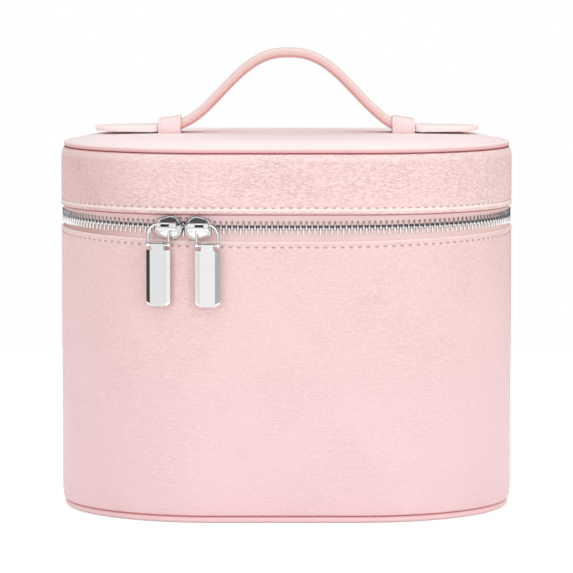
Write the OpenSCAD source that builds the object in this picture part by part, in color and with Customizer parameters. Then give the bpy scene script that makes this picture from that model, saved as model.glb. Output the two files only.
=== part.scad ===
/* [Case] */
// Width of the case over its rounded ends
case_w = 220; // [204:1:260]
// Depth of the case, which is also the diameter of its rounded ends
case_d = 150; // [130:1:160]
// Height of the top edge of the lower wall
wall_top = 134; // [90:1:170]
// Open height between the lower wall and the lid, where the zipper shows
zip_gap = 13; // [12.6:0.2:16]
// Height of the lid's side band
band_h = 28.4; // [20:0.2:45]
// Rise of the padded lid top above its piping
crown_h = 4.3; // [2:0.1:9]
// Distance over which the padded top rises from its edge
crown_reach = 22; // [14:1:34]

/* [Layers] */
// Thickness of the pebbled leather
leather_t = 1.2; // [0.8:0.1:1.6]
// Thickness of the stiffening board in the walls, base and lid
board_t = 2; // [1.2:0.1:2.6]
// Thickness of the lining fabric
lining_t = 0.6; // [0.4:0.1:1]
// Thickness of the padded floor lining
floor_t = 1.5; // [0.8:0.1:3]
// Height of the sewn hem, from the wall's edge to its board
hem_h = 6; // [5:0.5:9]
// Glue line between two layers
glue_gap = 0.1; // [0.05:0.05:0.2]

/* [Piping] */
// Diameter of the piping round the lid top
piping_d = 2.6; // [1.6:0.1:3.2]
// Diameter of the piping round the base
rim_d = 3.2; // [2:0.1:4]
// How far both pipings lie inside the face of the wall
piping_inset = 1.3; // [0.4:0.1:1.6]

/* [Zipper] */
// Width of the closed chain of teeth
chain_w = 6.7; // [5.6:0.1:7.2]
// Distance from one tooth to the next in the same row
tooth_pitch = 2.7; // [2.5:0.1:3.2]
// Thickness of a tooth along the chain
tooth_t = 1.1; // [0.8:0.05:1.2]
// Thickness of the chain from front to back
tooth_depth = 2.4; // [1.8:0.1:2.6]
// Height over which the two rows mesh
tooth_mesh = 1.2; // [0.8:0.1:1.6]
// Height of the tape's edge inside a tooth's jaws
tooth_bite = 1.7; // [1.2:0.1:2]
// Thickness of the zipper tape
tape_t = 0.7; // [0.4:0.05:0.9]
// Depth of the tape's face behind the face of the wall
tape_inset = 1.3; // [1.3:0.05:1.6]
// Where the two sliders meet, along the chain from the middle of the front
meet_s = -48.3; // [-60:0.1:-44]
// Clear height between the rows where the sliders part them
part_h = 1.6; // [1.4:0.1:1.7]
// How far the metal end stops close over the tape's edge
stop_cap = 0.5; // [0.3:0.1:0.6]
// Thickness of a metal end stop from front to back
stop_depth = 1.7; // [1.4:0.1:1.9]
// Length of the metal end stops along the chain
stop_l = 2; // [1:0.1:3]

/* [Slider] */
// Length of a slider along the chain
slider_l = 12.4; // [12:0.2:15]
// Height of a slider over its wide head
slider_head_h = 11.4; // [11.2:0.1:12]
// Height of a slider over its narrow tail
slider_tail_h = 8.6; // [8.4:0.1:9.4]
// Thickness of each slider plate
plate_t = 0.95; // [0.7:0.05:1.2]
// Free room between the chain and each slider plate
chain_play = 0.7; // [0.5:0.05:0.9]
// Free room between the tape and each lower lip
tape_play = 0.6; // [0.4:0.05:0.7]
// Thickness of a lip along a plate's lower edge
lip_t = 0.7; // [0.4:0.05:0.75]
// Gap between the heads of the two sliders
slider_gap = 0.9; // [0.8:0.1:3]
// Length of the wedge that parts the rows
wedge_l = 3.8; // [2.5:0.1:4.5]
// Length of the crown that holds the ring
crown_l = 10; // [9.5:0.1:11]
// Height of the crown
crown_bar_h = 3.7; // [2:0.1:4]
// Thickness of the crown's bridge
bridge_t = 1.2; // [0.8:0.1:1.8]
// Length of each crown post along the chain
post_l = 1.4; // [1:0.1:1.4]
// Height of the rear crown post, which the ring hangs on
post_h = 1.5; // [1:0.1:1.6]

/* [Ring and pull] */
// Diameter of the ring's wire
wire_d = 1.5; // [1.1:0.05:1.6]
// Width over the ring
ring_w = 11.8; // [10.4:0.1:12]
// Height over the ring
ring_h = 11.5; // [11.2:0.1:14]
// Bend radius of the ring's lower corners
ring_bend = 1; // [0.9:0.05:1.2]
// Free room of the ring under the bridge
ring_play = 0.2; // [0.1:0.05:0.4]
// Width of a pull
pull_w = 12; // [11:0.1:14]
// Length of a pull over its neck
pull_l = 30.7; // [22:0.1:40]
// Thickness of a pull
pull_t = 2.8; // [2.5:0.1:3]
// Width of a pull's flat front face between its bevels
pull_face_w = 7.6; // [5:0.1:9]
// Depth of a pull's bevels at its edges
pull_bevel = 1.1; // [0.5:0.1:1.4]
// Width of a pull's neck
neck_w = 6.2; // [4:0.1:6.4]
// Gap between a pull's back and the front of the slider plate
pull_gap = 0.35; // [0.3:0.05:0.6]
// Radial clearance of the ring's bar in the neck
pin_play = 0.08; // [0.03:0.01:0.1]
// Distance from the ring's bar down to a pull's shoulders
shoulder_drop = 2.5; // [2.2:0.05:3]

/* [Handle] */
// Height of the raised handle above the padded top
handle_h = 41.2; // [32:0.2:48]
// Half length of the curve that the raised handle bends into
handle_half = 58.6; // [58:0.1:60]
// Width of the handle strap
strap_w = 18; // [14:0.5:22]
// Thickness of the handle strap
strap_t = 4.5; // [4:0.1:4.8]
// Thickness of the strap's filler
filler_t = 2; // [1:0.1:2.2]
// Width of the strap's wide flat ends
paddle_w = 26; // [24:0.5:30]
// Thickness of the strap's flat ends
paddle_t = 2.9; // [2.4:0.1:4]
// Distance from the side of the case to the tip of each flat end
tip_inset = 16.4; // [16:0.1:24]
// Distance from the middle to the centre of each keeper
keeper_x = 57; // [55.5:0.1:57.5]
// Width of a keeper along the strap
keeper_w = 11; // [9:0.1:12]
// Thickness of a keeper
keeper_t = 1.2; // [0.8:0.1:1.6]
// Free room of the strap inside a keeper
keeper_play = 0.5; // [0.3:0.1:1]
// Gap between the resting strap and the padded top
rest_gap = 0.3; // [0.1:0.1:0.5]
// Gap at the joints of the strap's three lengths
strap_cut = 0.1; // [0.05:0.05:0.3]

/* [Hidden] */
$fn = 96;

leather_pink = [0.96, 0.80, 0.79];
leather_shade = [0.92, 0.74, 0.74];
lining_pink = [0.90, 0.74, 0.72];
tape_pink = [0.92, 0.78, 0.76];
board_grey = [0.72, 0.70, 0.66];
foam_white = [0.93, 0.92, 0.88];
nickel = [0.80, 0.80, 0.82];

// The footprint: two half circles joined by straight runs in front and behind
end_r = case_d / 2;
half_run = (case_w - case_d) / 2;

// Depths of the layers behind the face of the wall
board_in = leather_t + glue_gap;
lining_in = board_in + board_t + glue_gap;
room_in = lining_in + lining_t;
hem_in = tape_inset + tape_t + glue_gap;

// Heights, from the table up
floor_z = rim_d + glue_gap;
floor_top = floor_z + board_t + glue_gap;
hem_z = wall_top - hem_h;
lid_z = wall_top + zip_gap;
lid_hem_z = lid_z + hem_h;
band_top = lid_z + band_h;
lid_board_z = band_top - board_t;
lid_lining_z = lid_board_z - glue_gap - lining_t;

// The padded top starts inside its piping
piping_r = end_r - piping_inset - piping_d / 2;
piping_z = band_top + glue_gap + piping_d / 2;
rim_r = end_r - piping_inset - rim_d / 2;
top_r = piping_r - piping_d / 2 - glue_gap;
base_r = rim_r - rim_d / 2 - glue_gap;
crown_base = band_top + piping_d - glue_gap;
lid_top = crown_base + crown_h;
crown_steps = 8;

// The chain of teeth runs along the middle of the tape
chain_z = wall_top + zip_gap / 2;
chain_r = end_r - tape_inset - tape_t / 2;
tooth_top = tooth_mesh / 2;
tooth_foot = -chain_w / 2;
tape_edge = tooth_foot + tooth_bite;
// Half the length of the chain, from the middle of the front to the hinge
zip_half = half_run + PI * chain_r;
stop_s = zip_half - 1 - stop_l;
rows_half = floor((stop_s - 1) / tooth_pitch);

// A slider's own axes: x along the chain, y out of the case, z up, origin in the chain
plate_in = tooth_depth / 2 + chain_play;
plate_out = plate_in + plate_t;
slot_half = tape_t / 2 + tape_play;
head_r = slider_head_h / 2;
head_x = slider_l / 2 - head_r;
ring_y = plate_out + pull_gap + pull_t / 2;
bridge_y = ring_y + wire_d / 2 + ring_play;
slider_s = (slider_l + slider_gap) / 2;
// The ring's round top hangs over the crown's rear post
ring_mid_r = (ring_w - wire_d) / 2;
ring_in_r = ring_w / 2 - wire_d;
crown_x = -crown_l / 2 - 0.5;
ring_x = crown_x + post_l / 2;
ring_top_z = 1.1;
ring_z = ring_top_z - ring_in_r;
bar_z = ring_z - (ring_h - ring_w / 2 - wire_d / 2);
bore_r = wire_d / 2 + pin_play;
neck_r = pull_t / 2;
post_top = ring_top_z - ring_play - 0.1;

// The strap: its middle arches up between the keepers
arch_end = keeper_x;
arch_base = rest_gap + strap_t;
arch_rise = handle_h - arch_base;
arch_fill = 1.23;
arch_steps = 40;
paddle_tip = case_w / 2 - tip_inset;
keeper_top = arch_base + arch_rise * bell(keeper_x - keeper_w / 2) + rest_gap;

// Height of the crowned top at distance r from an end's centre
function crown_z(r) = crown_base + crown_h * sin(90 * min(1, (top_r - r) / crown_reach));

// Places along the chain: s is the length from the middle of the front, positive to +X
function turn(s) = max(0, abs(s) - half_run) / chain_r * 180 / PI;
function chain_x(s) = sign(s) * (min(abs(s), half_run) + chain_r * sin(turn(s)));
function chain_y(s) = -chain_r * cos(turn(s));
// How far the rows stand apart near the place where the sliders meet
function apart(d) = d < slider_s - head_x ? 1
    : d > slider_s + slider_l / 3 ? 0
    : (1 + cos(180 * (d - slider_s + head_x) / (slider_l / 3 + head_x))) / 2;

// The bell shape of the raised strap, 1 at its top and 0 where it lies flat
function bell(x) = abs(x) >= handle_half ? 0
    : pow(cos(90 * pow(abs(x) / handle_half, arch_fill)), 2);
function arch_z(x) = lid_top + arch_base + arch_rise * bell(x);
function arch_dir(x) = let (e = 0.05, v = [2 * e, arch_z(x + e) - arch_z(x - e)]) v / norm(v);
// A point at a depth under the strap's upper face
function under(x, depth) = let (d = arch_dir(x)) [x + d.y * depth, arch_z(x) - d.x * depth];

module stadium(inset) {
    for (side = [-1, 1]) translate([side * half_run, 0]) circle(end_r - inset);
    square([2 * half_run, case_d - 2 * inset], center = true);
}

// A wall that follows the footprint
module wall(inset, thickness, z0, z1) {
    translate([0, 0, z0]) linear_extrude(z1 - z0) difference() {
        stadium(inset);
        stadium(inset + thickness);
    }
}

module plate(inset, z0, z1) {
    translate([0, 0, z0]) linear_extrude(z1 - z0) stadium(inset);
}

// A wall that stops at the hinge, round both ends and along the front
module open_wall(inset, thickness, z0, z1) {
    translate([0, 0, z0]) linear_extrude(z1 - z0) difference() {
        stadium(inset);
        stadium(inset + thickness);
        translate([-half_run, 0]) square([2 * half_run, case_d]);
    }
}

// A flat strip across the straight run at the back
module back_strip(inset, thickness, z0, z1) {
    translate([-half_run + glue_gap, end_r - inset - thickness, z0])
        cube([2 * (half_run - glue_gap), thickness, z1 - z0]);
}

// A round cord that follows the footprint
module cord_ring(r, z, d) {
    for (side = [-1, 1]) translate([side * half_run, 0, z]) rotate([0, 0, -90 * side])
        rotate_extrude(angle = 180) translate([r, 0]) circle(d = d);
    for (side = [-1, 1]) translate([-half_run, side * r, z]) rotate([0, 90, 0])
        cylinder(d = d, h = 2 * half_run);
}

// A slab under the crowned top, between two depths below its surface
module crowned(depth, foot_z, thickness) {
    rise = [for (i = [0:crown_steps]) top_r - crown_reach * i / crown_steps];
    upper = [for (r = rise) [r, crown_z(r) - depth], [0, lid_top - depth]];
    lower = thickness > 0
        ? [for (p = upper) [p.x, p.y - thickness]]
        : [[top_r, foot_z], [0, foot_z]];
    half = concat(upper, [for (i = [len(lower) - 1:-1:0]) lower[i]]);
    for (side = [-1, 1]) translate([side * half_run, 0, 0]) rotate([0, 0, -90 * side])
        rotate_extrude(angle = 180) polygon(half);
    for (side = [0, 1]) mirror([0, side, 0]) translate([-half_run, 0, 0])
        rotate([90, 0, 90]) linear_extrude(2 * half_run) polygon(half);
}

module body_leather() {
    color(leather_pink) wall(0, leather_t, floor_z, wall_top);
}

module body_board() {
    color(board_grey) wall(board_in, board_t, floor_z, hem_z);
}

module body_lining() {
    color(lining_pink) {
        wall(lining_in, lining_t, floor_top, hem_z);
        wall(hem_in, room_in - hem_in, hem_z, wall_top);
    }
}

module base_leather() {
    color(leather_shade) plate(end_r - base_r, 0, leather_t);
}

module base_foam() {
    color(foam_white) plate(end_r - base_r, leather_t + glue_gap, rim_d);
}

module base_board() {
    color(board_grey) plate(lining_in, floor_z, floor_z + board_t);
}

module base_lining() {
    color(lining_pink) plate(room_in + glue_gap, floor_top, floor_top + floor_t);
}

module base_piping() {
    color(leather_pink) cord_ring(rim_r, rim_d / 2, rim_d);
}

module tape_lower() {
    color(tape_pink) open_wall(tape_inset, tape_t, hem_z + glue_gap, chain_z + tape_edge);
}

module tape_upper() {
    color(tape_pink) open_wall(tape_inset, tape_t, chain_z - tape_edge, lid_hem_z - glue_gap);
}

// Puts something on the chain, turned to face out of the case
module on_chain(s) {
    translate([chain_x(s), chain_y(s), chain_z]) rotate([0, 0, sign(s) * turn(s)]) children();
}

// One tooth of the lower row: its jaws hold the tape's edge, and its head meshes above
module tooth() {
    out = tooth_depth / 2;
    in = tape_t / 2;
    rotate([90, 0, 90]) translate([0, 0, -tooth_t / 2]) linear_extrude(tooth_t)
        polygon([[-out, tooth_foot], [-in, tooth_foot], [-in, tape_edge], [in, tape_edge],
                 [in, tooth_foot], [out, tooth_foot], [out, tooth_top], [-out, tooth_top]]);
}

module teeth(side) {
    shift = side > 0 ? 0.5 : 0;
    for (i = [-rows_half:rows_half - 2 * shift]) {
        s = (i + shift) * tooth_pitch;
        on_chain(s) mirror([0, 0, side > 0 ? 1 : 0])
            translate([0, 0, -part_h * apart(abs(s - meet_s))]) tooth();
    }
}

module teeth_lower() {
    color(nickel) teeth(-1);
}

module teeth_upper() {
    color(nickel) teeth(1);
}

// Metal stops clamped on one tape at both ends of the chain
module stops(side) {
    for (s = [-1, 1]) on_chain(s * (stop_s + stop_l / 2)) mirror([0, 0, side > 0 ? 1 : 0])
        translate([-stop_l / 2, -stop_depth / 2, tooth_foot]) difference() {
            cube([stop_l, stop_depth, tooth_bite + stop_cap]);
            translate([-1, stop_depth / 2 - tape_t / 2, -1])
                cube([stop_l + 2, tape_t, tooth_bite + 1]);
        }
}

module stops_lower() {
    color(nickel) stops(-1);
}

module stops_upper() {
    color(nickel) stops(1);
}

module hinge_leather() {
    color(leather_shade) back_strip(tape_inset, tape_t, hem_z + glue_gap, lid_hem_z - glue_gap);
}

module hinge_lining() {
    color(lining_pink) back_strip(hem_in, lining_t, wall_top + glue_gap, lid_z - glue_gap);
}

module lid_band_leather() {
    color(leather_pink) wall(0, leather_t, lid_z, band_top);
}

module lid_band_board() {
    color(board_grey) wall(board_in, board_t, lid_hem_z, band_top);
}

module lid_band_lining() {
    color(lining_pink) {
        wall(lining_in, lining_t, lid_hem_z, lid_lining_z - glue_gap);
        wall(hem_in, room_in - hem_in, lid_z, lid_hem_z);
    }
}

module lid_top_board() {
    color(board_grey) plate(lining_in, lid_board_z, band_top);
}

module lid_top_lining() {
    color(lining_pink) plate(lining_in, lid_lining_z, lid_lining_z + lining_t);
}

module lid_foam() {
    color(foam_white) crowned(leather_t + glue_gap, band_top + glue_gap, 0);
}

module lid_top_leather() {
    color(leather_pink) crowned(0, 0, leather_t);
}

module lid_piping() {
    color(leather_shade) cord_ring(piping_r, piping_z, piping_d);
}

// A loop over the strap, seen along the strap, with its feet on the padded top
module keeper(side) {
    inner = strap_w / 2 + keeper_play;
    outer = inner + keeper_t;
    color(leather_pink) translate([side * keeper_x - keeper_w / 2, 0, lid_top])
        rotate([90, 0, 90]) linear_extrude(keeper_w) difference() {
            translate([-outer, 0]) square([2 * outer, keeper_top + keeper_t]);
            translate([-inner, -1]) square([2 * inner, keeper_top + 1]);
        }
}

module keeper_left() {
    keeper(-1);
}

module keeper_right() {
    keeper(1);
}

// The outline of a slider plate: round head, narrower tail
module plate_shape(trim) {
    translate([head_x, 0]) circle(head_r - trim);
    polygon([[-slider_l / 2, -slider_tail_h / 2 + trim], [head_x, -head_r + trim],
             [head_x, head_r - trim], [-slider_l / 2, slider_tail_h / 2 - trim]]);
}

// Puts a flat shape upright, facing out, from one depth to another
module upright(y0, y1) {
    translate([0, -y0, 0]) rotate([90, 0, 0]) linear_extrude(y1 - y0) children();
}

// The lower lips keep the lower tape in; above, the plates are open
module lips() {
    for (depth = [[slot_half, plate_in], [-plate_in, -slot_half]])
        upright(depth[0], depth[1])
            polygon([[-slider_l / 2, -slider_tail_h / 2], [head_x, -head_r],
                     [head_x, -head_r + lip_t], [-slider_l / 2, -slider_tail_h / 2 + lip_t]]);
}

// A wedge between the plates holds them together and parts the rows
module wedge() {
    tip = slider_l / 2 - 0.8;
    half = part_h - tooth_top - 0.2;
    upright(-plate_in, plate_in)
        polygon([[tip - wedge_l, 0], [tip - wedge_l / 2, half], [tip, half / 2],
                 [tip, -half / 2], [tip - wedge_l / 2, -half]]);
}

module crown() {
    upright(plate_out, bridge_y) {
        translate([crown_x, post_top - post_h]) square([post_l, post_h]);
        translate([crown_x + crown_l - post_l, post_top - post_h]) square([post_l, post_h]);
    }
    upright(bridge_y, bridge_y + bridge_t)
        translate([crown_x, post_top - post_h - 0.4]) square([crown_l, crown_bar_h]);
}

// head is the side that the slider's round head points to
module slider(head) {
    color(nickel) on_chain(meet_s - head * slider_s) mirror([head < 0 ? 1 : 0, 0, 0]) {
        upright(plate_in, plate_out) plate_shape(0);
        upright(-plate_out, -plate_in) plate_shape(0);
        lips();
        wedge();
        crown();
    }
}

module slider_left() {
    slider(1);
}

module slider_right() {
    slider(-1);
}

// A wire ring: half a circle on top, two legs, and a straight bar below
module ring(head) {
    leg = ring_z - bar_z - ring_bend;
    color(nickel) on_chain(meet_s - head * slider_s) mirror([head < 0 ? 1 : 0, 0, 0])
        translate([ring_x, -ring_y, ring_z]) {
            rotate([90, 0, 0]) rotate_extrude(angle = 180)
                translate([ring_mid_r, 0]) circle(d = wire_d);
            for (side = [-1, 1]) translate([side * ring_mid_r, 0, -leg])
                cylinder(d = wire_d, h = leg);
            for (side = [-1, 1]) mirror([side < 0 ? 1 : 0, 0, 0])
                translate([ring_mid_r - ring_bend, 0, -leg]) rotate([90, 0, 0])
                rotate([0, 0, -90]) rotate_extrude(angle = 90)
                translate([ring_bend, 0]) circle(d = wire_d);
            translate([-ring_mid_r + ring_bend, 0, bar_z - ring_z]) rotate([0, 90, 0])
                cylinder(d = wire_d, h = 2 * (ring_mid_r - ring_bend));
        }
}

module ring_left() {
    ring(1);
}

module ring_right() {
    ring(-1);
}

// A bevelled bar with a bored neck, hanging from the ring's bar
module pull(head) {
    body_l = pull_l - neck_r - shoulder_drop;
    flat = pull_face_w / 2;
    half = pull_w / 2;
    color(nickel) on_chain(meet_s - head * slider_s) mirror([head < 0 ? 1 : 0, 0, 0])
        translate([ring_x, -ring_y, bar_z]) difference() {
            union() {
                translate([0, 0, -shoulder_drop - body_l]) linear_extrude(body_l)
                    polygon([[-flat, -neck_r], [flat, -neck_r], [half, pull_bevel - neck_r],
                             [half, neck_r], [-half, neck_r], [-half, pull_bevel - neck_r]]);
                translate([-neck_w / 2, -neck_r, -shoulder_drop - 0.5])
                    cube([neck_w, pull_t, shoulder_drop + 0.5]);
                translate([-neck_w / 2, 0, 0]) rotate([0, 90, 0])
                    cylinder(r = neck_r, h = neck_w);
            }
            translate([-neck_w, 0, 0]) rotate([0, 90, 0]) cylinder(r = bore_r, h = 2 * neck_w);
        }
}

module pull_left() {
    pull(1);
}

module pull_right() {
    pull(-1);
}

// A length of the raised strap between two depths under its upper face
module arch(depth0, depth1, half_l, width) {
    places = [for (i = [0:arch_steps]) -half_l + 2 * half_l * i / arch_steps];
    upper = [for (x = places) under(x, depth0)];
    lower = [for (i = [arch_steps:-1:0]) under(places[i], depth1)];
    translate([0, width / 2, 0]) rotate([90, 0, 0]) linear_extrude(width)
        polygon(concat(upper, lower));
}

module handle_arch() {
    skin = (strap_t - filler_t) / 2 - glue_gap;
    color(leather_pink) difference() {
        arch(0, strap_t, arch_end, strap_w);
        arch(skin, strap_t - skin, arch_end + 1, strap_w - 2 * skin);
    }
}

module handle_filler() {
    skin = (strap_t - filler_t) / 2;
    color(foam_white) arch(skin, strap_t - skin, arch_end, strap_w - 2 * skin);
}

// A flat end of the strap: it leaves the keeper and widens to a round tip
module strap_end(side) {
    start = arch_end + strap_cut;
    shoulder = keeper_x + keeper_w / 2 + 1.5;
    color(leather_pink) translate([0, 0, lid_top + rest_gap]) linear_extrude(paddle_t) {
        translate([side > 0 ? start : -shoulder - 1, -strap_w / 2])
            square([shoulder + 1 - start, strap_w]);
        translate([side * (paddle_tip - paddle_w / 2), 0]) circle(d = paddle_w);
        translate([side > 0 ? shoulder : paddle_w / 2 - paddle_tip, -paddle_w / 2])
            square([paddle_tip - paddle_w / 2 - shoulder, paddle_w]);
    }
}

module strap_end_left() {
    strap_end(-1);
}

module strap_end_right() {
    strap_end(1);
}

body_leather();
body_board();
body_lining();
base_leather();
base_foam();
base_board();
base_lining();
base_piping();
tape_lower();
teeth_lower();
stops_lower();
hinge_leather();
hinge_lining();
lid_band_leather();
lid_band_board();
lid_band_lining();
lid_top_leather();
lid_foam();
lid_top_board();
lid_top_lining();
lid_piping();
tape_upper();
teeth_upper();
stops_upper();
keeper_left();
keeper_right();
slider_left();
slider_right();
ring_left();
ring_right();
pull_left();
pull_right();
handle_arch();
handle_filler();
strap_end_left();
strap_end_right();
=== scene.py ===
import math

import bmesh
import bpy
import numpy as np
from mathutils import Matrix, Vector


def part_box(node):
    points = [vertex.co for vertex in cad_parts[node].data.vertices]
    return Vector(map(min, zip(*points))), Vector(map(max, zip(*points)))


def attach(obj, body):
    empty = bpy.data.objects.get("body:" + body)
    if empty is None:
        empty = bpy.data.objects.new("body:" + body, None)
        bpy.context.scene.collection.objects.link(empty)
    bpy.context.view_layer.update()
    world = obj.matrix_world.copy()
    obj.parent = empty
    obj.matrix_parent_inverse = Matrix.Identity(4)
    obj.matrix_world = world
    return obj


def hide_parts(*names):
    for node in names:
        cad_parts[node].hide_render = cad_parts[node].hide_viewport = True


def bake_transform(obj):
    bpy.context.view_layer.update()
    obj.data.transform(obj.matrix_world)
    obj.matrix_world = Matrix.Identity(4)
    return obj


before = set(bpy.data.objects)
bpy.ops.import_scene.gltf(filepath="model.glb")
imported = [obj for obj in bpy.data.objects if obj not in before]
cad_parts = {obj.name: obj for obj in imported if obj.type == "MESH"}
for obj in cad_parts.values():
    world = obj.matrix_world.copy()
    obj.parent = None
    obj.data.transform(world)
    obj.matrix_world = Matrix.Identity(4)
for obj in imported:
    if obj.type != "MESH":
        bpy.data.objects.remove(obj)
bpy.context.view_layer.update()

MM = 0.001


def sizes(node):
    """Lowest and highest corner of a CAD node, in millimetres."""
    low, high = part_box(node)
    return [v / MM for v in low], [v / MM for v in high]


def clamp(value):
    """A value held between 0 and 1."""
    return min(1.0, max(0.0, value))


def soft_step(t):
    return t * t * (3 - 2 * t)


def arc(x, y, radius, start, turn, steps):
    """Points along a circle; its start and its turn are counted in quarter turns."""
    return [(x + radius * math.cos(a), y + radius * math.sin(a))
            for a in [math.pi / 2 * (start + turn * k / steps) for k in range(steps + 1)]]


# The case's own sizes, in millimetres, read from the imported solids
WALL_LOW, (WALL_END, END_R, WALL_TOP) = sizes("body_leather")
FLOOR_Z = WALL_LOW[2]
RUN = WALL_END - END_R
ROUND = 4 * RUN + 2 * math.pi * END_R
LID_Z, BAND_TOP = (corner[2] for corner in sizes("lid_band_leather"))
TOP_R, LID_TOP = sizes("lid_top_leather")[1][1:]

# Sizes of what the scene adds, in millimetres
CHAIN_Z = (WALL_TOP + LID_Z) / 2
CHAIN_R = 73.35
CHAIN_HALF = RUN + math.pi * CHAIN_R
CROWN_BASE = LID_TOP - 4.3
CROWN_REACH = 16.0
STRAP_TOP = 4.8
ARCH_RISE = 36.15
ARCH_HALF = 58.1
ARCH_LEAN = 1.0
KEEPER_X = 57.0
MEET_S = -48.3
SLIDER_S = 6.65
RING_X, RING_Y, RING_Z = -4.8, 4.6, -3.3
BAR_Z = -8.15
TOOTH_PITCH = 2.7
END_ROOM = 4.0
PARTED = 1.6
STITCHES = int(round(ROUND / 4.07))
LOW_SEAM = WALL_TOP - 2.7
HIGH_SEAM = LID_Z + 3.0
EDGE_RISE = 3.2
SWELL_FRAMES = 20


# ---- finishes

class Amount:
    """A number socket that adds Math nodes when it meets an operator."""

    def __init__(self, finish, socket):
        self.finish = finish
        self.socket = socket

    def maths(self, operation, *values):
        return self.finish.add("Math", {"operation": operation}, dict(enumerate(values)))

    def __add__(self, other):
        return self.maths("ADD", self, other)

    def __sub__(self, other):
        return self.maths("SUBTRACT", self, other)

    def __rsub__(self, other):
        return self.maths("SUBTRACT", other, self)

    def __mul__(self, other):
        return self.maths("MULTIPLY", self, other)

    __radd__, __rmul__ = __add__, __mul__

    def sine(self):
        return self.maths("SINE", self)

    def size(self):
        return self.maths("ABSOLUTE", self)

    def at_most(self, other):
        return self.maths("MINIMUM", self, other)

    def step(self, low, high):
        """0 below low and 1 above high, with a soft rise between."""
        return self.finish.add("MapRange", {"interpolation_type": "SMOOTHSTEP"},
                               {"Value": self, "From Min": low, "From Max": high})


class Finish:
    """The node tree of one material or of the world, filled through one method."""

    def __init__(self, name, owner=None):
        self.owner = owner or bpy.data.materials.new(name)
        self.owner.use_nodes = True
        self.tree = self.owner.node_tree
        self.tree.nodes.clear()

    def add(self, kind, settings=None, values=None, out=0):
        """Adds a node, sets what it is, then its sockets, and gives back one output."""
        node = self.tree.nodes.new("ShaderNode" + kind)
        for key, value in (settings or {}).items():
            setattr(node, key, value)
        for key, value in (values or {}).items():
            socket = node.inputs[key]
            if isinstance(value, Amount):
                self.tree.links.new(value.socket, socket)
            else:
                socket.default_value = value
        return Amount(self, node.outputs[out]) if out is not None else node

    def vector(self, operation, a, b):
        return self.add("VectorMath", {"operation": operation}, {0: a, 1: b})

    def mixed(self, share, a, b):
        return self.add("Mix", {"data_type": "RGBA"}, {0: share, 6: a, 7: b}, out=2)

    def parts(self, vector):
        node = self.add("SeparateXYZ", None, {0: vector}, out=None)
        return [Amount(self, node.outputs[i]) for i in range(3)]

    def rays(self, *kinds):
        node = self.add("LightPath", out=None)
        return [Amount(self, node.outputs[f"Is {kind} Ray"]) for kind in kinds]

    def place(self, kind="Object"):
        return self.add("TexCoord", out=kind)

    def noise(self, where, scale, detail=2.0, roughness=0.5, out="Fac"):
        return self.add("TexNoise", None, {"Vector": where, "Scale": scale, "Detail": detail,
                                           "Roughness": roughness}, out=out)

    def cells(self, where, scale, feature="F1"):
        return self.add("TexVoronoi", {"feature": feature},
                        {"Vector": where, "Scale": scale}, out="Distance")

    def left_shade_share(self, where):
        """Share of the painted shade: 0 over the front, rising to 1 at the far left of the
        object.
        """
        return (self.parts(where)[0] * -1000.0).step(62.0, 98.0)

    def painted_at_heights(self, base, where, painted_heights):
        """Paints light and shade into the base near heights of the object, in millimetres:
        painted shade in grooves and under edges, painted highlights and bounce light on lit
        bands. Each entry is its height, how far it reaches, its colour and that colour's share."""
        for height, reach, colour, share in painted_heights:
            off = (self.parts(where)[2] - height * MM).size()
            near = 1 - off.step(reach * 0.25 * MM, reach * MM)
            base = self.mixed(near * share, base, colour)
        return base

    def bump(self, height, distance, strength=1.0, under=None):
        values = {"Height": height, "Distance": distance, "Strength": strength}
        if under is not None:
            values["Normal"] = under
        return self.add("Bump", None, values, out="Normal")

    def shade(self, **values):
        """The surface itself; names of sockets are given with low lines for spaces."""
        sockets = {key.replace("_", " "): value for key, value in values.items()}
        shader = self.add("BsdfPrincipled", None, sockets)
        self.add("OutputMaterial", None, {"Surface": shader}, out=None)
        return self.owner


def tone(red, green, blue):
    """A colour given as it shows on screen, from 0 to 255, turned into light."""
    def light(value):
        v = value / 255
        return v / 12.92 if v <= 0.04045 else ((v + 0.055) / 1.055) ** 2.4
    return (light(red), light(green), light(blue), 1.0)


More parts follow.
